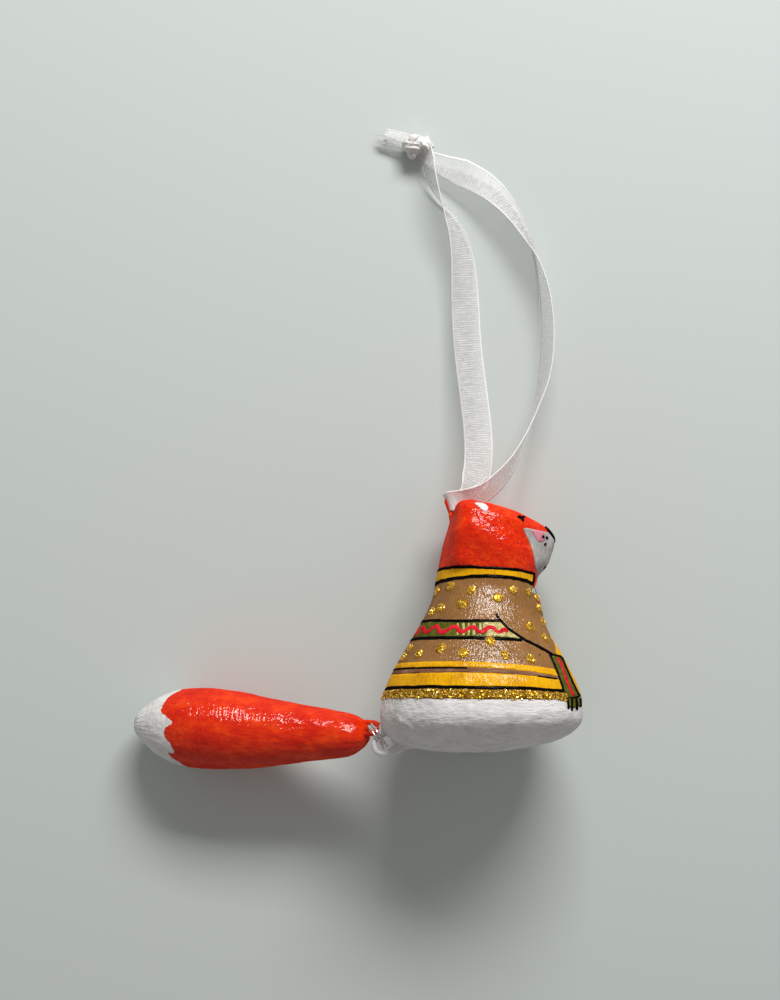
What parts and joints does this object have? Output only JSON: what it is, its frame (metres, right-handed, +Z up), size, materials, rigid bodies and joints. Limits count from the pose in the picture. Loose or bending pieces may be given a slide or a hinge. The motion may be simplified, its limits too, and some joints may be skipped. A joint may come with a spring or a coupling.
{
  "type": "hanging fox ornament",
  "caption": "Hand-painted papier-mache fox ornament lying on its side, with a loose tail linked by a split ring and a sheer ribbon loop to hang it by.",
  "frame": {"origin": "on the surface the ornament lies on, under the middle of its box without the ribbon", "axes": "+X the way the fox faces, away from the tail; +Y from the base to the head; +Z up from the surface, out of the fox's right side"},
  "size_m": [0.1146, 0.1674, 0.0458],
  "materials": {
    "painted_body": "papier-mache, hand-painted in bands, satin varnish",
    "painted_tail": "moulded pulp, hand-painted, satin varnish",
    "bare_pulp": "bare paper pulp",
    "red_wire": "wire under the same red paint",
    "white_wire": "wire under the same white paint",
    "nickel_wire": "bright nickel",
    "sheer_ribbon": "sheer white ribbon with closed edges"
  },
  "bodies": {
    "fox": {"body_shell_left": "painted_body", "body_shell_right": "painted_body", "hanging_eye": "red_wire", "hanging_eye_plug": "bare_pulp", "rear_eye": "white_wire", "rear_eye_plug": "bare_pulp"},
    "ring": {"split_ring": "nickel_wire"},
    "tail": {"tail_core": "painted_tail", "tail_eye": "red_wire"},
    "ribbon": {"ribbon_front_leg": "sheer_ribbon", "ribbon_back_leg": "sheer_ribbon", "ribbon_knot": "sheer_ribbon", "ribbon_ends": "sheer_ribbon"}
  },
  "joints": [
    {"name": "ring_swing", "type": "hinge", "parent": "fox", "child": "ring", "pos_m": [0.00741, -0.02742, 0.02449], "axis": [0, 0.1956, 0.9807], "range_deg": [0, 105]},
    {"name": "tail_swing", "type": "hinge", "parent": "ring", "child": "tail", "pos_m": [0.0044, -0.02405, 0.01943], "axis": [0, 0, 1], "range_deg": [-20, 22]},
    {"name": "ribbon_swing", "type": "hinge", "parent": "fox", "child": "ribbon", "pos_m": [0.02551, 0.0332, 0.0124], "axis": [0, 0, 1], "range_deg": [-4, 45]}
  ]
}
